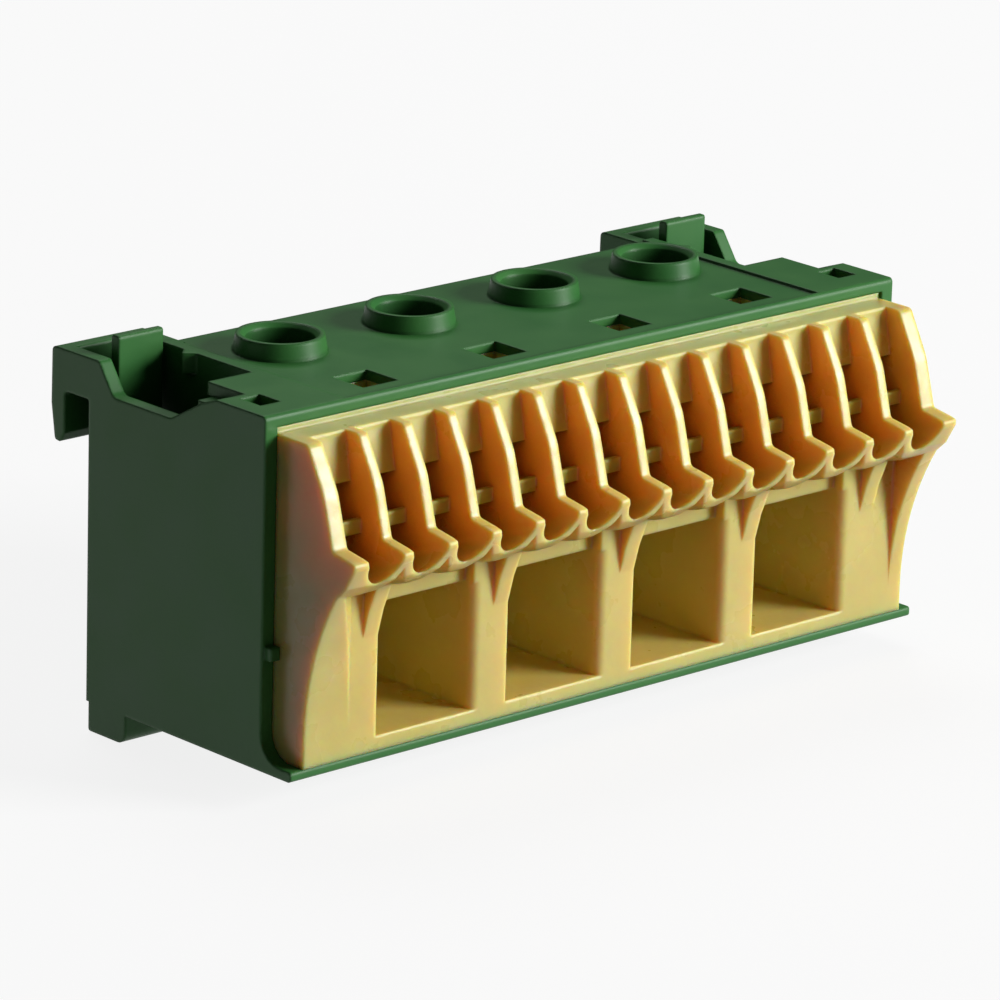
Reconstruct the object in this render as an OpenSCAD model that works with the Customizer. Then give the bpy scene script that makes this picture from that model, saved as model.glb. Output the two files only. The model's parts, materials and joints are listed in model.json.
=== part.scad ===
// Earth terminal bar for a distribution board.
// A green housing hooks onto a rail. A yellow front moulding guides small wires into a row of
// spring clamps and large wires into a row of screw clamps, all on one brass bar.
// X runs along the bar, Y from the wire side to the back, Z up.

/* [Terminals] */
// Number of screw clamps for large wires
screw_count = 4; // [1:1:7]
// Distance between two screw clamps
screw_pitch = 18; // [17:0.5:22]
// Number of spring clamps for small wires
spring_count = 14; // [2:1:20]
// Distance between two spring clamps
spring_pitch = 6; // [5.8:0.1:6.6]
// Distance from the front edge back to the screws
screw_y = 18.9; // [18.5:0.1:19.6]

/* [Housing] */
// Depth from the front edge to the back face
body_d = 28.2; // [28:0.1:34]
// Height without the feet
body_h = 37.7; // [37:0.1:44]
// Thickness of the side walls
side_t = 1.6; // [1.2:0.1:2]
// Thickness of the top plate
top_t = 1.4; // [1:0.1:1.8]
// Thickness of the floor
floor_t = 1.1; // [0.8:0.1:1.5]
// Thickness of the back wall
back_t = 1.4; // [1:0.1:2]
// Thickness of the walls inside
inner_t = 1.2; // [0.8:0.1:1.4]
// Distance that the floor reaches in front of the side walls
floor_reach = 4.9; // [4:0.1:6]
// Depth of the step down to the middle of the top plate
step_h = 0.3; // [0.1:0.1:0.6]
// Width of the end part of the top plate
end_w = 11; // [10.5:0.5:12]
// Width of the open well at each end
well_w = 9.5; // [9:0.1:10]
// Height of the feet
foot_h = 3.2; // [2:0.1:6]
// Depth of the feet
foot_d = 6.1; // [4:0.1:8]

/* [Rail hooks] */
// Width of each hook and foot along the bar
hook_w = 11.7; // [8:0.1:14]
// Gap that the edge of the rail slides into
rail_gap = 4.1; // [3:0.1:6]
// Thickness of the outer leg of the hook
leg_t = 2.1; // [1.5:0.1:3]
// Distance from the top down to the roof of the gap
gap_roof_drop = 4.7; // [4:0.1:6]
// Distance from the top down to the tip of the outer leg
leg_drop = 10.4; // [8:0.1:14]
// Width of the upright finger beside the hook
finger_w = 5.9; // [4:0.1:6.2]
// Height of the finger above the top plate
finger_rise = 1.9; // [0.5:0.1:3]

/* [Collars and windows] */
// Radius of the screwdriver hole
hole_r = 3.7; // [3.6:0.05:4]
// Outer radius of the collar at its rim
collar_r = 4.7; // [4.5:0.05:5]
// Outer radius of the collar at the top plate
collar_base_r = 5.05; // [5:0.05:5.6]
// Height of the collar above the middle of the top plate
collar_h = 1.9; // [1:0.1:3]
// Width of the test windows
window_w = 4.7; // [3:0.1:4.8]
// Depth of the test windows
window_d = 4.9; // [3:0.1:6]
// Distance from the front edge to the test windows
window_y = 3; // [2:0.1:4]

/* [Front moulding] */
// Width of the opening for a large wire
port_w = 13.2; // [10:0.1:13.6]
// Height of the sill of that opening above the floor
sill_h = 1.6; // [1:0.1:2.5]
// Width of the slot for a small wire
slot_w = 4.8; // [4.4:0.1:5]
// Distance from the top down to the middle of the trough at the lip
lip_drop = 13; // [12.5:0.1:13.5]
// Distance that the lip reaches in front of the side walls
lip_reach = 12.1; // [11.5:0.1:13]
// Slope of the troughs
trough_tilt = 18; // [14:1:20]
// Thickness of the trough walls
trough_t = 0.9; // [0.7:0.05:1.1]
// Width of the ribs beside the openings
rib_w = 2; // [1.2:0.1:2.4]
// Radius that the end ribs flare out on
flare_r = 32; // [28:1:40]
// Play between the front moulding and the housing
moulding_fit = 0.1; // [0.05:0.05:0.2]

/* [Brass bar and clamps] */
// Thickness of the brass
bar_t = 2; // [1.5:0.1:2.5]
// Width of the tongue that reaches into a screw clamp
tongue_w = 8; // [6:0.1:8.4]
// Distance from the bar down to the tongue
tongue_drop = 3.8; // [3:0.1:4.5]
// Width of the clamp cage
cage_w = 12; // [11:0.1:12.4]
// Depth of the clamp cage
cage_d = 9.6; // [8:0.1:9.8]
// Thickness of the cage sides
cage_t = 1.6; // [1.2:0.1:1.7]
// Radius of the clamp screw over its thread
screw_r = 3; // [2.5:0.05:3.1]
// Running clearance of the screw
screw_fit = 0.08; // [0.04:0.01:0.1]
// Radius of the screw head
head_r = 3.5; // [3.3:0.05:3.55]
// Height of the screw head
head_h = 2.4; // [2:0.1:3]
// Width of the spring strip
strip_w = 4.2; // [3:0.1:4.3]
// Thickness of the spring strip
strip_t = 0.4; // [0.2:0.05:0.5]

/* [Hidden] */

// Length from the pitches, with the wider of the two rows deciding it
end_margin = 3;
bar_l = max((screw_count + 1) * screw_pitch, spring_count * spring_pitch + 2 * end_margin);
half_l = bar_l / 2;
inner_x = half_l - side_t;
screw_xs = [for (i = [0:screw_count - 1]) (i - (screw_count - 1) / 2) * screw_pitch];
spring_xs = [for (i = [0:spring_count - 1]) (i - (spring_count - 1) / 2) * spring_pitch];

// Heights that hang from the top
plate_z = body_h - step_h;
plate_under = body_h - top_t;
ledge_z = body_h - 2.1;
lip_z = body_h - lip_drop;
hook_top = body_h - 0.2;
gap_roof = body_h - gap_roof_drop;
leg_tip = body_h - leg_drop;
valley_z = body_h - 3.6;

// Brass bar and the mouths under it
bar_top = lip_z - 4.9;
bar_under = bar_top - bar_t;
port_roof = bar_under - inner_t;
sill_z = floor_t + sill_h;
tongue_under = bar_under - tongue_drop;
tongue_top = tongue_under + bar_t;

// Places from front to back
chamber_y = -1.8;
bar_y = 0.2;
screen_y = 11.3;
screen_back = screen_y + inner_t;
back_y = body_d - back_t;
tab_x = 3.7;
tab_y = 7.7;
finger_x = -half_l + 2.8;
finger_root = floor_t + 7;
finger_set = 0.2;
end_window = [2.3, 4.9];
leg_y = body_d + rail_gap;
hook_y = leg_y + leg_t;
tongue_end = screw_y + cage_d / 2 + 0.8;

// Screw clamp, drawn open with its cage at the bottom
cage_clear = 1.3;
cage_floor_t = 1.8;
cage_gap = 0.6;
cage_head_t = 3.6;
shut_gap = 0.8;
seat_gap = 0.4;
seat_t = 1;
cage_bottom = floor_t + cage_clear;
cage_floor = cage_bottom + cage_floor_t;
cage_roof = tongue_top + cage_gap;
cage_top = cage_roof + cage_head_t;
cage_lift = tongue_under - cage_floor - shut_gap;
seat_z = cage_top + cage_lift + seat_gap + seat_t;
drive_t = head_h * 0.46;
drive_depth = head_h * 0.54;
tip_gap = 0.05;
guide_fit = 0.3;
guide_x = cage_w / 2 + guide_fit;

// Front moulding
pillar_y = -floor_reach;
trough_r = slot_w / 2;
trough_outer_r = trough_r + trough_t;
moulding_x = inner_x - moulding_fit;
wall_y = -3.6;
wall_z = lip_z + 5.7;
web_y = -5.4;
web_z = [lip_z + 0.6, lip_z + 2.1];
rib_start = sill_z + 11;
shelf_z = bar_top;
cheek_w = 6;
cheek_angle = 43.5;

// Whole object: the origin is under its middle, at the height of the feet
mid_y = (hook_y - lip_reach) / 2;
eps = 0.01;
arc_steps = 5;
$fn = 64;

// Points of an outline whose corners are [y, z, corner radius]
function unit(v) = v / norm(v);
function turn(a) = a > 180 ? a - 360 : a < -180 ? a + 360 : a;
function corner(a, b, c, r) =
    r == 0 ? [b] :
    let (
        u = unit(a - b),
        v = unit(c - b),
        half = acos(max(-1, min(1, u * v))) / 2,
        o = b + unit(u + v) * r / sin(half),
        p = b + u * r / tan(half) - o,
        q = b + v * r / tan(half) - o,
        from = atan2(p.y, p.x),
        sweep = turn(atan2(q.y, q.x) - from)
    )
    [for (i = [0:arc_steps]) let (t = from + sweep * i / arc_steps) o + r * [cos(t), sin(t)]];
function flat(p) = [p.x, p.y];
function rounded(path) = [
    for (i = [0:len(path) - 1])
        let (n = len(path), a = path[(i + n - 1) % n], b = path[i], c = path[(i + 1) % n])
        for (p = corner(flat(a), flat(b), flat(c), b[2])) p
];
// Centre line of an open strip with rounded bends, then the strip itself
function bent(path) = [
    for (i = [0:len(path) - 1])
        let (b = path[i])
        if (i == 0 || i == len(path) - 1) flat(b)
        else for (p = corner(flat(path[i - 1]), flat(b), flat(path[i + 1]), b[2])) p
];
function side_of(line, i) =
    let (d = unit(line[min(i + 1, len(line) - 1)] - line[max(i - 1, 0)])) [-d.y, d.x];
function strip(line, t) = concat(
    [for (i = [0:len(line) - 1]) line[i] + side_of(line, i) * t / 2],
    [for (i = [len(line) - 1:-1:0]) line[i] - side_of(line, i) * t / 2]
);

// Height of the middle of a trough at a given y
function trough_z(y) = lip_z - (y + lip_reach) * tan(trough_tilt);
// How far the end ribs stand forward at a given height
function flare_y(z) = pillar_y + sqrt(flare_r * flare_r - pow(max(z - floor_t - 3, 0), 2)) - flare_r;

// Places the finished object, and draws a [y, z] outline along X
module seated() {
    translate([0, -mid_y, foot_h]) children();
}
module across(x0, x1) {
    translate([x0, 0, 0]) rotate([90, 0, 90]) linear_extrude(x1 - x0) children();
}
module block(low, high) {
    translate(low) cube(high - low);
}
module both_ends() {
    children();
    mirror([1, 0, 0]) children();
}

// ---------------------------------------------------------------- housing

// Inside, tip and outside of the outer leg of a hook
function leg_path() = [
    [leg_y, leg_tip + 1.1, 0],
    [leg_y + 0.6, leg_tip, 0.3],
    [hook_y - 0.6, leg_tip + 0.1, 0.4],
    [hook_y, leg_tip + 4, 0],
    [hook_y - 0.1, hook_top, 0.6]
];

module side_outline() {
    polygon(rounded(concat([
        [pillar_y, 0, 0.4],
        [body_d, 0, 0],
        [body_d, gap_roof, 0.3],
        [leg_y, gap_roof, 0.6]
    ], leg_path(), [
        [body_d - 1.6, hook_top, 0.5],
        [body_d - 4, valley_z, 1],
        [body_d - 13.3, valley_z, 1],
        [tab_y + 2.2, body_h - 0.8, 1],
        [tab_y, body_h, 0.5],
        [0, body_h, 0.5],
        [0, floor_t, 3],
        [pillar_y, floor_t, 0.3]
    ])));
}

// Floor, side walls, back wall and top plate before anything is cut out of them
module shell() {
    both_ends() across(-half_l, -inner_x) side_outline();
    block([-inner_x, pillar_y + 0.4, 0], [inner_x, body_d, floor_t]);
    across(-inner_x, inner_x) polygon(rounded([
        [pillar_y, 0, 0.4], [0, 0, 0], [0, floor_t, 0], [pillar_y, floor_t, 0.3]
    ]));
    block([-inner_x, back_y, 0], [inner_x, body_d, body_h]);
    across(-inner_x, inner_x) polygon(rounded([
        [0, plate_under, 0.2], [body_d, plate_under, 0], [body_d, body_h, 0], [0, body_h, 0.5]
    ]));
}

// One corner at the back: hook, bridge and foot
module hook_and_foot() {
    hook_end = -half_l + hook_w;
    across(-half_l, hook_end)
        polygon(rounded(concat([[leg_y, gap_roof - 1, 0]], leg_path(), [[leg_y, hook_top, 0.3]])));
    block([-half_l + side_t / 2, body_d + 0.4, gap_roof], [hook_end, leg_y + leg_t / 2, gap_roof + inner_t]);
    block([hook_end - side_t, body_d - back_t, gap_roof], [hook_end, leg_y + leg_t / 2, hook_top]);
    across(-half_l, hook_end) polygon(rounded([
        [body_d - 0.4, 0.5, 0], [body_d - 0.4, -foot_h, 0.3],
        [body_d - 0.4 - foot_d, -foot_h, 1.2], [body_d - 0.4 - foot_d, 0.5, 0]
    ]));
}

// The open well beside the terminals, with the finger cut free from the back wall
module well() {
    well_end = -half_l + well_w;
    above = body_h + 1;
    block([-inner_x, screen_back + 1, plate_under - 1], [well_end, back_y, above]);
    block([-inner_x, tab_y, plate_under - 1], [-half_l + tab_x, back_y, above]);
    block([-inner_x, back_y - eps, finger_root], [finger_x, body_d + eps, above]);
    block([finger_x + finger_w, back_y - eps, finger_root], [well_end, body_d + eps, above]);
    block([finger_x - eps, body_d - finger_set - eps, plate_under], [finger_x + finger_w + eps, body_d + 1, above]);
}

module finger() {
    across(finger_x, finger_x + finger_w) polygon(rounded([
        [back_y, gap_roof - 6, 0], [body_d - finger_set, gap_roof - 6, 0],
        [body_d - finger_set, body_h + finger_rise, 0.4], [back_y, body_h + finger_rise, 0.3]
    ]));
}

// Walls between the terminals and the wells, and the small spur beside each well
module end_walls() {
    well_end = -half_l + well_w;
    block([-inner_x, screen_y, floor_t / 2], [well_end + eps, screen_back, plate_under + eps]);
    block([well_end, screen_y, floor_t / 2], [well_end + inner_t, back_y + eps, plate_under + eps]);
    translate([well_end + eps, body_d - 6, body_h - 2.2])
        linear_extrude(2.2) polygon([[0, 0], [-1.2, 1], [0, 2.2]]);
}

// Guides that hold each cage upright and the rest under the tip of its tongue
module clamp_guides() {
    for (x = screw_xs) {
        for (side = [-1, 1])
            block(
                [x + side * (guide_x + inner_t / 2) - inner_t / 2, screen_y, floor_t / 2],
                [x + side * (guide_x + inner_t / 2) + inner_t / 2, back_y + eps, plate_under + eps]
            );
        block(
            [x - tongue_w / 2, screw_y + cage_d / 2 + guide_fit, tongue_under - 1.6],
            [x + tongue_w / 2, back_y + eps, tongue_under]
        );
        translate([x, screw_y, seat_z - seat_t])
            cylinder(r = collar_base_r, h = plate_z - seat_z + seat_t);
        translate([x, screw_y, plate_z - eps])
            cylinder(r1 = collar_base_r, r2 = collar_r, h = collar_h);
    }
}

// The wall behind the spring clamps
module screen() {
    block([-inner_x, screen_y, bar_under], [inner_x, screen_back, plate_under + eps]);
}

module top_cuts() {
    for (x = screw_xs) {
        translate([x, screw_y, seat_z]) cylinder(r = hole_r, h = body_h);
        translate([x, screw_y, seat_z - seat_t - 1]) cylinder(r = screw_r + screw_fit, h = seat_t + 2);
        translate([x, screw_y, plate_z + collar_h - 0.5 - eps])
            cylinder(r1 = hole_r, r2 = hole_r + 0.5, h = 0.5 + 2 * eps);
        block([x - window_w / 2, window_y, plate_under - 1], [x + window_w / 2, window_y + window_d, body_h + 1]);
    }
    both_ends()
        block(
            [-half_l + end_window[0], window_y + 0.5, plate_under - 1],
            [-half_l + end_window[1], window_y + 3.8, body_h + 1]
        );
}

module housing() {
    color([0.19, 0.42, 0.2]) seated() difference() {
        union() {
            difference() {
                shell();
                both_ends() well();
                difference() {
                    block([-half_l + end_w, 0.6, plate_z], [half_l - end_w, body_d + 1, body_h + 1]);
                    for (x = screw_xs)
                        translate([x, screw_y, plate_z - 1]) cylinder(r = collar_base_r, h = 3);
                }
            }
            both_ends() {
                hook_and_foot();
                finger();
                end_walls();
                nub();
            }
            screen();
            clamp_guides();
        }
        top_cuts();
    }
}

// Small catch on the front edge of each side wall
module nub() {
    block([-inner_x - 1.2, -1, floor_t + 10.8], [-inner_x, eps, floor_t + 12.2]);
}

// ---------------------------------------------------------------- front moulding

// Outline of the moulding through a wall between two slots
module moulding_outline() {
    polygon(rounded([
        [pillar_y, floor_t, 0],
        [screen_y, floor_t, 0],
        [screen_y, plate_under, 0],
        [0.3, plate_under, 0],
        [0.3, ledge_z, 0],
        [pillar_y + 0.3, ledge_z, 0.7],
        [-7.2, ledge_z - 4.8, 6],
        [-8.75, lip_z + 0.6, 0.5],
        [-lip_reach + 0.8, lip_z + 0.2, 0],
        [-lip_reach, lip_z, 0.2],
        [-lip_reach, lip_z - 0.6, 0.3],
        [-lip_reach + 1.3, lip_z - 2.9, 0.3],
        [-9.4, lip_z - 4.2, 0.3],
        [-8, shelf_z, 0.5],
        [pillar_y, shelf_z, 0]
    ]));
}

// Rounded undersides of the troughs
module trough_shells() {
    for (x = spring_xs)
        translate([x, -lip_reach, lip_z]) rotate([90 + 180 - trough_tilt, 0, 0])
            translate([0, 0, -3]) cylinder(r = trough_outer_r, h = lip_reach + 3);
}

module moulding_body() {
    lip_back = -6.5;
    difference() {
        across(-moulding_x, moulding_x) moulding_outline();
        // Between the troughs the lip is cut away below their middles
        difference() {
            block([-moulding_x - 1, -20, 0], [moulding_x + 1, lip_back, lip_z]);
            across(-moulding_x - 2, moulding_x + 2) polygon([
                [-20, trough_z(-20)], [lip_back + 1, trough_z(lip_back + 1)],
                [lip_back + 1, lip_z + 1], [-20, lip_z + 1]
            ]);
            trough_shells();
            both_ends() block([-moulding_x - 2, -21, -1], [spring_xs[0], lip_back + 1, lip_z + 1]);
        }
    }
}

// Straight channel with a round bottom that slopes down towards the spring clamp
module trough_channel(r, height) {
    translate([0, -lip_reach, lip_z]) rotate([-90 - trough_tilt, 0, 0])
        translate([0, 0, -8]) linear_extrude(lip_reach + 9.5) union() {
            circle(r = r);
            translate([-r, -height]) square([2 * r, height]);
        }
}

// One slot with its trough, down to the chamber of the spring clamp
module slot_cut() {
    intersection() {
        trough_channel(trough_r, 30);
        across(-slot_w, slot_w) polygon([
            [-2 * lip_reach, ledge_z + 2],
            [-2.5, ledge_z + 2],
            [-2.7, ledge_z - 0.6],
            [wall_y, wall_z],
            [chamber_y - eps, wall_z - 0.6],
            [3, wall_z - 0.6],
            [3, 0],
            [-2 * lip_reach, 0]
        ]);
    }
}

module front_moulding() {
    color([0.87, 0.74, 0.42]) seated() {
        difference() {
            union() {
                moulding_body();
                gusset_ribs();
            }
            for (x = spring_xs) translate([x, 0, 0]) {
                slot_cut();
                block([-slot_w / 2, chamber_y, bar_top], [slot_w / 2, screen_y + 1, plate_under - inner_t]);
            }
            bar_seat();
            for (x = screw_xs) translate([x, 0, 0]) port_cut();
            moulding_cores();
        }
        for (x = spring_xs)
            block([x - slot_w / 2 - eps, web_y, web_z[0]], [x + slot_w / 2 + eps, web_y + 0.6, web_z[1]]);
    }
}

// Ribs at the left of each opening, and the flared ends
module gusset_ribs() {
    for (i = [0:screw_count]) {
        right = (i - screw_count / 2) * screw_pitch + (screw_pitch - port_w) / 2;
        across(right - rib_w, right) polygon([
            [0, rib_start - 2], [pillar_y, rib_start],
            [pillar_y - 0.8, rib_start + 3], [pillar_y - 2, rib_start + 6],
            [pillar_y - 3, rib_start + 7.5], [0, rib_start + 7.5]
        ]);
    }
    // The left end flares over a slanted cheek, the right end is a plain rib
    difference() {
        across(-moulding_x, -moulding_x + cheek_w + 0.2) flare_outline();
        translate([-moulding_x + cheek_w, pillar_y, 0]) rotate([0, 0, cheek_angle])
            block([-body_h, -body_h, 0], [body_h, 0, body_h]);
    }
    across(moulding_x - 1.9, moulding_x) flare_outline();
}

module flare_outline() {
    steps = 12;
    z0 = floor_t + 3;
    z1 = shelf_z + 1;
    polygon(concat(
        [[0, z1], [0, z0]],
        [for (i = [0:steps]) let (z = z0 + (z1 - z0) * i / steps) [flare_y(z), z]]
    ));
}

// Opening for a large wire, with its right edge rounded
module port_cut() {
    block([-port_w / 2, -20, sill_z], [port_w / 2, screen_y + 1, port_roof]);
    block([-tongue_w / 2 - 0.2, screen_y - bar_t - 0.1, sill_z], [tongue_w / 2 + 0.2, screen_y + 1, bar_under + eps]);
    round_r = 1;
    difference() {
        block([port_w / 2 - eps, pillar_y - 1, sill_z], [port_w / 2 + round_r, pillar_y + round_r, port_roof]);
        translate([port_w / 2 + round_r, pillar_y + round_r, 0]) cylinder(r = round_r, h = body_h);
    }
    block([-port_w / 2, -20, port_roof - eps], [port_w / 2, -3.5, shelf_z - 0.6]);
}

// The brass bar slides into this slot from behind
module bar_seat() {
    block([-half_l + 4 - 0.1, bar_y, bar_under], [half_l - 4 + 0.1, screen_y + 1, bar_top + eps]);
}

// Hollows between the openings, open at the back
module moulding_cores() {
    for (i = [0:screw_count]) {
        x = (i - screw_count / 2) * screw_pitch;
        core_w = screw_pitch - port_w - 2 * inner_t;
        block([x - core_w / 2, 0, sill_z], [x + core_w / 2, screen_y + 1, port_roof]);
    }
    for (x = screw_xs)
        block([x - window_w / 2, window_y, plate_under - 3], [x + window_w / 2, window_y + window_d, body_h]);
    both_ends() {
        block([-half_l, 7.2, ledge_z - 3], [-half_l + 3.6, screen_y + 1, body_h]);
        block([-half_l, 7.2, floor_t - 1], [-half_l + 2.6, screen_y + 1, body_h]);
    }
}

// ---------------------------------------------------------------- brass bar and clamps

module earth_busbar() {
    color([0.8, 0.65, 0.3]) seated() {
        block([-half_l + 4, bar_y, bar_under], [half_l - 4, screen_y, bar_top]);
        for (x = screw_xs) across(x - tongue_w / 2, x + tongue_w / 2) polygon(rounded([
            [screen_y - bar_t, bar_top - 0.2, 0],
            [screen_y - bar_t, tongue_under, 0.6],
            [tongue_end, tongue_under, 0],
            [tongue_end, tongue_top, 0],
            [screen_y, tongue_top, 0],
            [screen_y, bar_top - 0.2, 0]
        ]));
    }
}

module clamp_cage(i) {
    x = screw_xs[i - 1];
    color([0.72, 0.73, 0.75]) seated() translate([x, screw_y, 0]) difference() {
        translate([-cage_w / 2, -cage_d / 2, cage_bottom]) cube([cage_w, cage_d, cage_top - cage_bottom]);
        translate([-cage_w / 2 + cage_t, -cage_d, cage_floor])
            cube([cage_w - 2 * cage_t, cage_d * 2, cage_roof - cage_floor]);
        translate([0, 0, cage_floor]) cylinder(r = screw_r + screw_fit, h = cage_top);
    }
}

module clamp_screw(i) {
    x = screw_xs[i - 1];
    color([0.78, 0.79, 0.8]) seated() translate([x, screw_y, 0]) difference() {
        union() {
            translate([0, 0, tongue_top + tip_gap]) cylinder(r = screw_r, h = seat_z - tongue_top - tip_gap + eps);
            translate([0, 0, seat_z]) cylinder(r = head_r, h = head_h);
        }
        for (a = [0, 90]) rotate([0, 0, a])
            translate([-head_r * 0.75, -drive_t / 2, seat_z + head_h - drive_depth])
                cube([head_r * 1.5, drive_t, head_h]);
    }
}

module spring_clamp(i) {
    x = spring_xs[i - 1];
    top_z = plate_under - inner_t - 0.4;
    color([0.7, 0.72, 0.74]) seated() across(x - strip_w / 2, x + strip_w / 2)
        polygon(strip(bent([
            [screen_y - strip_t / 2, bar_top, 0],
            [screen_y - strip_t / 2, top_z - strip_t / 2, 1.8],
            [-0.6, top_z - strip_t / 2, 1.7],
            [screen_y - 3.1, bar_top + 0.3, 0]
        ]), strip_t));
}

// ---------------------------------------------------------------- the object

housing();
front_moulding();
earth_busbar();
for (i = [1:screw_count]) clamp_cage(i);
for (i = [1:screw_count]) clamp_screw(i);
for (i = [1:spring_count]) spring_clamp(i);
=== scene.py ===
# %% [markdown]
# # An earth terminal bar
# The bar is a green moulded housing that hooks onto a rail. A yellow moulding in front of it guides
# small wires into a row of spring clamps and large wires into four screw clamps.
# The solids come from the CAD model. This script gives them their finish, their light and a camera.

import json
import math

import bpy
from mathutils import Matrix, Vector


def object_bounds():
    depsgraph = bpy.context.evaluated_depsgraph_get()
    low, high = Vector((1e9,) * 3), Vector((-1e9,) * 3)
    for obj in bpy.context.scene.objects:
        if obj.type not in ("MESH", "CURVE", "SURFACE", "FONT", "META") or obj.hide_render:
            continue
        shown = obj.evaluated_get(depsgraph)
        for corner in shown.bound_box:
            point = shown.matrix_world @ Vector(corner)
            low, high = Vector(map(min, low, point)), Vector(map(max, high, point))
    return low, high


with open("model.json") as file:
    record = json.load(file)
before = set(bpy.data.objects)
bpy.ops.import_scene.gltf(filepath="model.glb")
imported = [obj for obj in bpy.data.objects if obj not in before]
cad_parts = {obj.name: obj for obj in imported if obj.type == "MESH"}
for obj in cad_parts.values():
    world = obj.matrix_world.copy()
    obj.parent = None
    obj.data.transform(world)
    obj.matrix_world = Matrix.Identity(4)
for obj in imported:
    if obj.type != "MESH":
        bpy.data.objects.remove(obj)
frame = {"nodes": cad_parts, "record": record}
cad_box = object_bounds()
nodes = frame["nodes"]
mm = 0.001
print("solids:", len(nodes), "box in mm:", [[round(v / mm, 1) for v in corner] for corner in cad_box])

# %% [markdown]
# ## Camera
# A long lens from the front left and a little above keeps the rows of slots nearly parallel, as in a
# catalogue. A short lens close by would spread the slots like a fan. The camera is aimed at a point
# inside the housing and then rolled by a small angle, so that the bar leans a little in the frame.

# %% Camera
eye = Vector((-0.45313, -0.48751, 0.22537))
target = Vector((0.0, 0.00247, 0.02047))
roll = math.radians(1.65)

camera_data = bpy.data.cameras.new("catalogue_camera")
camera_data.lens = 234
camera_data.sensor_width = 36
camera_data.clip_start = 0.05
camera = bpy.data.objects.new("catalogue_camera", camera_data)
camera.location = eye
aim = (target - eye).to_track_quat("-Z", "Y").to_matrix() @ Matrix.Rotation(roll, 3, "Z")
camera.rotation_euler = aim.to_euler()
bpy.context.collection.objects.link(camera)
bpy.context.scene.camera = camera
print("camera is", round((target - eye).length, 3), "m away")

# %% [markdown]
# ## Helpers for node trees
# A material is a graph. Three short helpers keep the graphs readable: one places a node and sets its
# values, one starts a node group with its named inputs and outputs, and one links two sockets.

# %% Helpers
def place(tree, kind, values=None, **settings):
    """Adds a node, sets its properties, then its unlinked inputs or the links into them."""
    node = tree.nodes.new(kind)
    for key, value in settings.items():
        setattr(node, key, value)
    for key, value in (values or {}).items():
        if isinstance(value, bpy.types.NodeSocket):
            tree.links.new(value, node.inputs[key])
        else:
            node.inputs[key].default_value = value
    return node


def start_group(name, inputs, outputs):
    """Starts a node group. Inputs are (name, default), outputs are (name, socket type)."""
    group = bpy.data.node_groups.new(name, "ShaderNodeTree")
    for label, default in inputs:
        socket = group.interface.new_socket(label, in_out="INPUT", socket_type="NodeSocketFloat")
        socket.default_value = default
    for label, kind in outputs:
        group.interface.new_socket(label, in_out="OUTPUT", socket_type=kind)
    return group, group.nodes.new("NodeGroupInput").outputs, group.nodes.new("NodeGroupOutput").inputs


def join(tree, socket, to):
    tree.links.new(socket, to)

# %% [markdown]
# ## Rounded edges
# No moulded edge is knife sharp: the tool leaves a radius of a few tenths of a millimetre, and that
# radius is what catches the light. A bevel modifier could cut a real radius. The Bevel shader node
# only rounds the shading and leaves the outline sharp, which does for radii this small. The radius
# wavers a little along the edge, because the parting lines of a cheap moulding aren't even.

# %% Group: rounded edges
edges, given, out = start_group(
    "rounded_edges",
    [("Radius", 0.0004), ("Unevenness", 0.3)],
    [("Normal", "NodeSocketVector")],
)
swings_per_metre = 900.0
where = place(edges, "ShaderNodeTexCoord")
waver = place(edges, "ShaderNodeTexNoise",
              {"Vector": where.outputs["Object"], "Scale": swings_per_metre, "Detail": 2.0})
spread = place(edges, "ShaderNodeMath", {0: waver.outputs["Fac"], 1: 0.5}, operation="SUBTRACT")
share = place(edges, "ShaderNodeMath", {0: spread.outputs[0], 1: given["Unevenness"]}, operation="MULTIPLY")
factor = place(edges, "ShaderNodeMath", {0: share.outputs[0], 1: 1.0}, operation="ADD")
radius = place(edges, "ShaderNodeMath", {0: factor.outputs[0], 1: given["Radius"]}, operation="MULTIPLY")
bevel = place(edges, "ShaderNodeBevel", {"Radius": radius.outputs[0]}, samples=6)
join(edges, bevel.outputs["Normal"], out["Normal"])
print("group", edges.name, "with", len(edges.nodes), "nodes")

# %% [markdown]
# ## Moulded skin
# Injection moulding copies the steel of the tool. The skin carries a fine spark-eroded grain, a soft
# waviness from shrinking, and patches where it came out a little glossier. One height for the bump
# and one mask for the roughness carry all three.

# %% Group: moulded skin
skin, given, out = start_group(
    "moulded_skin",
    [("Grain size", 0.00025), ("Grain", 0.5), ("Waviness", 0.5)],
    [("Height", "NodeSocketFloat"), ("Patches", "NodeSocketFloat")],
)
waves_per_metre = 420.0
patches_per_metre = 160.0
where = place(skin, "ShaderNodeTexCoord")
fine_scale = place(skin, "ShaderNodeMath", {0: 1.0, 1: given["Grain size"]}, operation="DIVIDE")
fine = place(skin, "ShaderNodeTexNoise",
             {"Vector": where.outputs["Object"], "Scale": fine_scale.outputs[0], "Detail": 3.0})
soft = place(skin, "ShaderNodeTexNoise",
             {"Vector": where.outputs["Object"], "Scale": waves_per_metre, "Detail": 1.0})
patch = place(skin, "ShaderNodeTexNoise",
              {"Vector": where.outputs["Object"], "Scale": patches_per_metre, "Detail": 4.0})
grain = place(skin, "ShaderNodeMath", {0: fine.outputs["Fac"], 1: given["Grain"]}, operation="MULTIPLY")
wave = place(skin, "ShaderNodeMath", {0: soft.outputs["Fac"], 1: given["Waviness"]}, operation="MULTIPLY")
height = place(skin, "ShaderNodeMath", {0: grain.outputs[0], 1: wave.outputs[0]}, operation="ADD")
join(skin, height.outputs[0], out["Height"])
join(skin, patch.outputs["Fac"], out["Patches"])
print("group", skin.name, "with", len(skin.nodes), "nodes")

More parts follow.
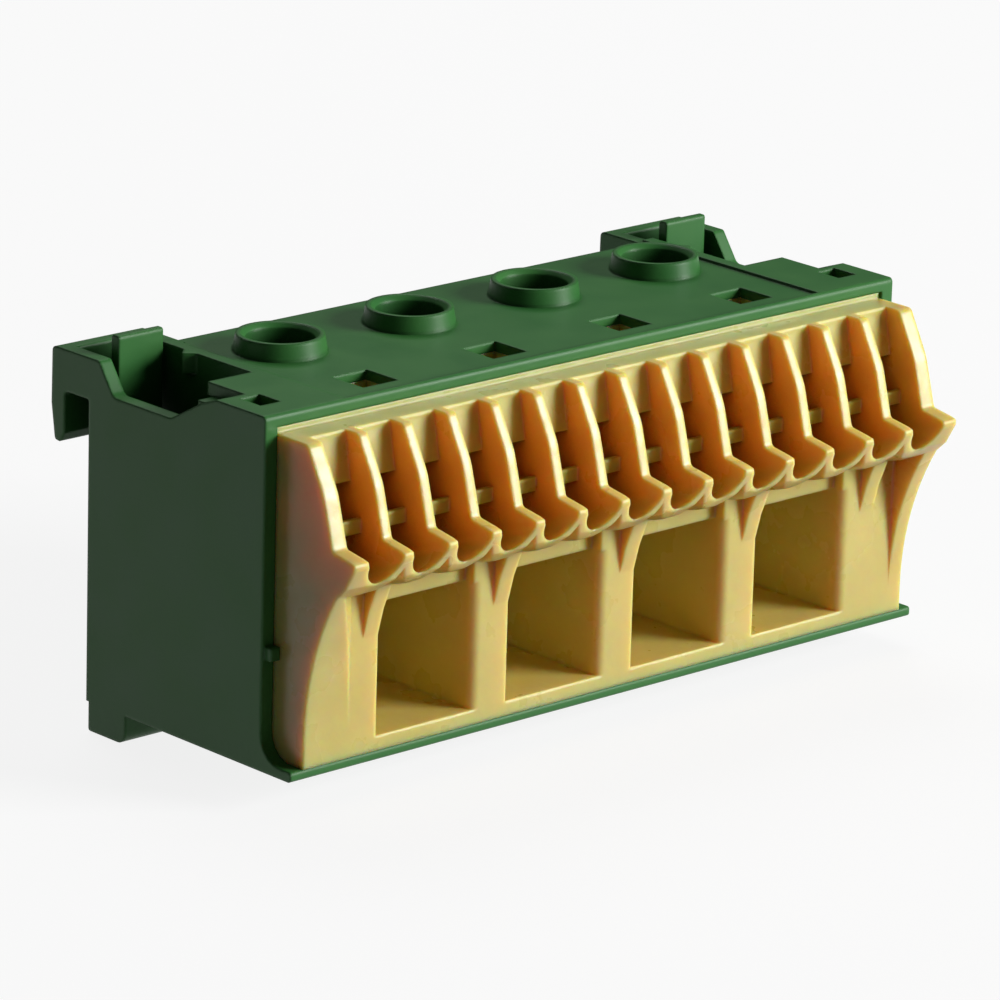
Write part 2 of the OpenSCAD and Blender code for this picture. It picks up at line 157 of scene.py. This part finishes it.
# %% [markdown]
# ## Hollows
# Coloured plastic lets light in a little way. In a slot the light bounces from wall to wall and takes
# on more of the colour each time, and deep holes go dark. A few bounces in the renderer don't reach
# that depth, so the Ambient Occlusion node measures how closed in a point is, and the finishes paint
# that shade into their base colours from this mask. It looks only at the piece itself, so that the
# mask doesn't depend on what stands beside it.

# %% Group: hollows
hollows, given, out = start_group("hollows", [("Reach", 0.01)], [("Depth", "NodeSocketFloat")])
closed_in = place(hollows, "ShaderNodeAmbientOcclusion", {"Distance": given["Reach"]},
                  only_local=True, samples=8)
depth = place(hollows, "ShaderNodeMath", {0: 1.0, 1: closed_in.outputs["AO"]}, operation="SUBTRACT")
join(hollows, depth.outputs[0], out["Depth"])
print("group", hollows.name, "with", len(hollows.nodes), "nodes")

# %% [markdown]
# ## Start of a finish
# Every finish starts the same way: a new material with its Principled shader. Values that are the
# same all over go straight onto the shader. The other helpers place a group, lay colours over a
# mask, multiply two colours and spread a mask over a range.

# %% Helpers for finishes
def start_finish(name, **shader_values):
    """Makes a material and returns it with its tree and its Principled shader."""
    material = bpy.data.materials.new(name)
    material.use_nodes = True
    shader = material.node_tree.nodes["Principled BSDF"]
    for label, value in shader_values.items():
        shader.inputs[label.replace("_", " ")].default_value = value
    return material, material.node_tree, shader


def use(tree, group, **values):
    """Places a group in a tree with its own values."""
    node = tree.nodes.new("ShaderNodeGroup")
    node.node_tree = group
    for label, value in values.items():
        node.inputs[label.replace("_", " ")].default_value = value
    return node


def blend_colours(tree, mask, stops):
    """A colour ramp over a mask. Stops are (position, linear colour)."""
    ramp = tree.nodes.new("ShaderNodeValToRGB")
    elements = ramp.color_ramp.elements
    while len(elements) < len(stops):
        elements.new(0.5)
    for element, (position, colour) in zip(elements, stops):
        element.position = position
        element.color = (*colour, 1)
    tree.links.new(mask, ramp.inputs["Fac"])
    return ramp.outputs["Color"]


def multiply_colours(tree, first, second):
    """Multiplies two colours. A mix node has sockets for each data type, these are the colour ones."""
    colour_a, colour_b, colour_result = 6, 7, 2
    mix = tree.nodes.new("ShaderNodeMix")
    mix.data_type = "RGBA"
    mix.blend_type = "MULTIPLY"
    mix.inputs["Factor"].default_value = 1
    tree.links.new(first, mix.inputs[colour_a])
    tree.links.new(second, mix.inputs[colour_b])
    return mix.outputs[colour_result]


def spread_value(tree, mask, low, high):
    """Maps a mask from 0..1 to low..high."""
    return place(tree, "ShaderNodeMapRange", {"Value": mask, "To Min": low, "To Max": high}).outputs[0]

# %% [markdown]
# ## Green housing
# The housing is a dark green nylon with a satin skin. It is opaque, so its own colour only varies by
# the flow of the melt. On top of that, painted shade darkens it towards black in the wells and holes
# where hardly any light returns.

# %% Finish: green plastic
green, tree, shader = start_finish("green_plastic", Specular_IOR_Level=0.3)
surface = use(tree, skin, Grain_size=0.00018, Grain=0.35, Waviness=0.6)
edge = use(tree, edges, Radius=0.00045, Unevenness=0.5)
hollow = use(tree, hollows, Reach=0.012)
flow = blend_colours(tree, surface.outputs["Patches"],
                     [(0.3, (0.032, 0.155, 0.034)), (0.7, (0.042, 0.175, 0.038))])
# Painted shade: the base colour darkens to about a quarter where the hollows mask is deep.
shade = blend_colours(tree, hollow.outputs["Depth"],
                      [(0.3, (1, 1, 1)), (0.8, (0.25, 0.3, 0.25))])
join(tree, multiply_colours(tree, flow, shade), shader.inputs["Base Color"])
join(tree, spread_value(tree, surface.outputs["Patches"], 0.36, 0.5), shader.inputs["Roughness"])
bump = place(tree, "ShaderNodeBump", {"Strength": 0.2, "Distance": 0.00006,
                                      "Height": surface.outputs["Height"], "Normal": edge.outputs["Normal"]})
join(tree, bump.outputs["Normal"], shader.inputs["Normal"])
print("finish", green.name, "with", len(tree.nodes), "nodes")

# %% [markdown]
# ## Yellow moulding
# The moulding is natural yellow nylon. It glows: light enters a thin wall on one side and leaves on
# the other as a deeper gold. Subsurface scattering does that, with red travelling furthest and blue
# hardly at all. Open faces come out creamy. Closed-in places are painted deeper gold, orange and,
# deepest in, near black: painted shade and painted glow in the base colour.

# %% Finish: yellow plastic
yellow, tree, shader = start_finish("yellow_plastic", Subsurface_Weight=1.0, Subsurface_Scale=0.0035,
                                    Subsurface_Radius=(1.0, 0.42, 0.06), Specular_IOR_Level=0.5)
surface = use(tree, skin, Grain_size=0.0005, Grain=0.15, Waviness=1.0)
edge = use(tree, edges, Radius=0.00055, Unevenness=0.9)
hollow = use(tree, hollows, Reach=0.014)
# Painted shade and glow: creamy on open faces, deeper gold and orange in closed-in places, near black deepest
# in.
creamy_with_painted_shade = blend_colours(tree, hollow.outputs["Depth"],
                      [(0.1, (0.72, 0.6, 0.2)), (0.55, (0.74, 0.55, 0.14)),
                       (0.8, (0.6, 0.32, 0.04)), (0.97, (0.1, 0.03, 0.004))])
cloud = blend_colours(tree, surface.outputs["Patches"],
                      [(0.3, (1, 1, 1)), (0.72, (0.94, 0.92, 0.86))])
join(tree, multiply_colours(tree, creamy_with_painted_shade, cloud), shader.inputs["Base Color"])
join(tree, spread_value(tree, surface.outputs["Patches"], 0.2, 0.38), shader.inputs["Roughness"])
bump = place(tree, "ShaderNodeBump", {"Strength": 0.5, "Distance": 0.00012,
                                      "Height": surface.outputs["Height"], "Normal": edge.outputs["Normal"]})
join(tree, bump.outputs["Normal"], shader.inputs["Normal"])
print("finish", yellow.name, "with", len(tree.nodes), "nodes")

# %% [markdown]
# ## Drawn and rolled metal
# The brass bar is drawn, the springs are rolled and the cages are bent from rolled strip. All three
# carry fine lines along the bar. Noise that is stretched in one direction gives such lines, and a
# second noise gives the dull clouds of handling and plating.

# %% Group: drawn lines
lines, given, out = start_group(
    "drawn_lines",
    [("Line width", 0.0001), ("Stretch", 40.0)],
    [("Height", "NodeSocketFloat"), ("Clouds", "NodeSocketFloat")],
)
clouds_per_metre = 300.0
where = place(lines, "ShaderNodeTexCoord")
pull = place(lines, "ShaderNodeMath", {0: 1.0, 1: given["Stretch"]}, operation="DIVIDE")
axes = place(lines, "ShaderNodeCombineXYZ", {"X": pull.outputs[0], "Y": 1.0, "Z": 1.0})
along = place(lines, "ShaderNodeVectorMath", {0: where.outputs["Object"], 1: axes.outputs[0]},
              operation="MULTIPLY")
line_scale = place(lines, "ShaderNodeMath", {0: 1.0, 1: given["Line width"]}, operation="DIVIDE")
line = place(lines, "ShaderNodeTexNoise",
             {"Vector": along.outputs[0], "Scale": line_scale.outputs[0], "Detail": 2.0})
cloud = place(lines, "ShaderNodeTexNoise",
              {"Vector": where.outputs["Object"], "Scale": clouds_per_metre, "Detail": 3.0})
join(lines, line.outputs["Fac"], out["Height"])
join(lines, cloud.outputs["Fac"], out["Clouds"])
print("group", lines.name, "with", len(lines.nodes), "nodes")

# %% [markdown]
# ## Metals
# The four metals share one recipe. They differ in colour, in how rough they are, in how fine their
# lines are and in how round their edges are. The screws are turned, and the same fine lines suit them.

# %% Finishes: metals
def metal(name, bright, dull, roughness, line_width, edge_radius):
    """A metal with drawn lines, dull clouds and softened edges."""
    material, tree, shader = start_finish(name, Metallic=1.0)
    drawn = use(tree, lines, Line_width=line_width)
    edge = use(tree, edges, Radius=edge_radius, Unevenness=0.2)
    colour = blend_colours(tree, drawn.outputs["Clouds"], [(0.35, bright), (0.7, dull)])
    join(tree, colour, shader.inputs["Base Color"])
    join(tree, spread_value(tree, drawn.outputs["Clouds"], *roughness), shader.inputs["Roughness"])
    bump = place(tree, "ShaderNodeBump", {"Strength": 0.25, "Distance": 0.00002,
                                          "Height": drawn.outputs["Height"],
                                          "Normal": edge.outputs["Normal"]})
    join(tree, bump.outputs["Normal"], shader.inputs["Normal"])
    print("finish", name, "with", len(tree.nodes), "nodes")
    return material


# For each metal: bright colour, dull colour, roughness from and to, line width, edge radius
metals = {
    "brass": ((0.8, 0.6, 0.26), (0.62, 0.42, 0.17), (0.2, 0.4), 0.00012, 0.0002),
    "plated_steel": ((0.7, 0.71, 0.73), (0.55, 0.56, 0.55), (0.25, 0.45), 0.0001, 0.0002),
    "screw_steel": ((0.74, 0.75, 0.77), (0.6, 0.6, 0.58), (0.18, 0.35), 0.00008, 0.00015),
    "spring_steel": ((0.62, 0.63, 0.64), (0.5, 0.5, 0.5), (0.2, 0.32), 0.00006, 0.00008),
}
finishes = {"green_plastic": green, "yellow_plastic": yellow}
finishes.update({name: metal(name, *values) for name, values in metals.items()})

# %% [markdown]
# ## Every solid gets the finish of its slot
# The record says which material each solid is made of, so the script asks it and doesn't repeat it.

# %% Hand out the finishes
slot_of = {part["node"]: part["material_slot"] for part in frame["record"]["subparts"]}
for name, solid in nodes.items():
    solid.data.materials.clear()
    solid.data.materials.append(finishes[slot_of[name]])
print("finished:", {slot: list(slot_of.values()).count(slot) for slot in finishes})

# %% [markdown]
# ## Floor
# The bar stands on a plain pale floor. Seen directly or in a reflection the floor is nearly white and
# keeps part of the shadow. To all other light it is a plain matt grey, so that it doesn't throw
# a second light up at the shaded side of the housing.

# %% Floor
floor_gap = 0.0001
floor_size = 8
white_share = 0.85
floor_height = cad_box[0][2] - floor_gap
bpy.ops.mesh.primitive_plane_add(size=floor_size, location=(0, 0, floor_height))
floor = bpy.context.object
floor.name = "floor"
floor_material = bpy.data.materials.new("floor_white")
floor_material.use_nodes = True
tree = floor_material.node_tree
matt = tree.nodes["Principled BSDF"]
matt.inputs["Base Color"].default_value = (0.2, 0.2, 0.2, 1)
matt.inputs["Roughness"].default_value = 1
matt.inputs["Specular IOR Level"].default_value = 0
pale = place(tree, "ShaderNodeBsdfDiffuse", {"Color": (0.95, 0.95, 0.95, 1)})
white = place(tree, "ShaderNodeEmission", {"Color": (1, 1, 1, 1), "Strength": 1.0})
seen_floor = place(tree, "ShaderNodeMixShader", {0: white_share, 1: pale.outputs[0], 2: white.outputs[0]})
rays = place(tree, "ShaderNodeLightPath")
direct = place(tree, "ShaderNodeMath", {0: rays.outputs["Is Camera Ray"], 1: rays.outputs["Is Glossy Ray"]},
               operation="MAXIMUM")
seen = place(tree, "ShaderNodeMath", {0: direct.outputs[0], 1: rays.outputs["Is Transmission Ray"]},
             operation="MAXIMUM")
whole = place(tree, "ShaderNodeMixShader", {0: seen.outputs[0], 1: matt.outputs[0], 2: seen_floor.outputs[0]})
join(tree, whole.outputs[0], tree.nodes["Material Output"].inputs["Surface"])
floor.data.materials.append(floor_material)
print("floor at", round(floor_height / mm, 2), "mm")

# %% [markdown]
# ## Light
# One large soft lamp stands at the front right, so that the front is bright and the left side of the
# housing falls into shade. A second one behind and above draws a soft light over the top plate and
# the collars. The studio itself is dim.

# %% Lamps
lamp_aim = Vector((0, 0, 0.02))
studio_light = 0.05


def lamp(name, spot, size, watts):
    """A square area lamp that is aimed at the middle of the bar."""
    data = bpy.data.lights.new(name, "AREA")
    data.energy = watts
    data.size = size
    thing = bpy.data.objects.new(name, data)
    thing.location = spot
    thing.rotation_euler = (lamp_aim - Vector(spot)).to_track_quat("-Z", "Y").to_euler()
    bpy.context.collection.objects.link(thing)
    print("lamp", name, watts, "W at", round(Vector(spot).length, 2), "m")


lamp("front_lamp", (0.7, -0.85, 0.4), 0.5, 17)
lamp("top_lamp", (0.25, 0.55, 0.85), 0.6, 3.5)

world = bpy.data.worlds.new("studio")
world.use_nodes = True
world.node_tree.nodes["Background"].inputs["Color"].default_value = (1, 1, 1, 1)
world.node_tree.nodes["Background"].inputs["Strength"].default_value = studio_light
bpy.context.scene.world = world
bpy.context.scene.view_settings.view_transform = "Standard"
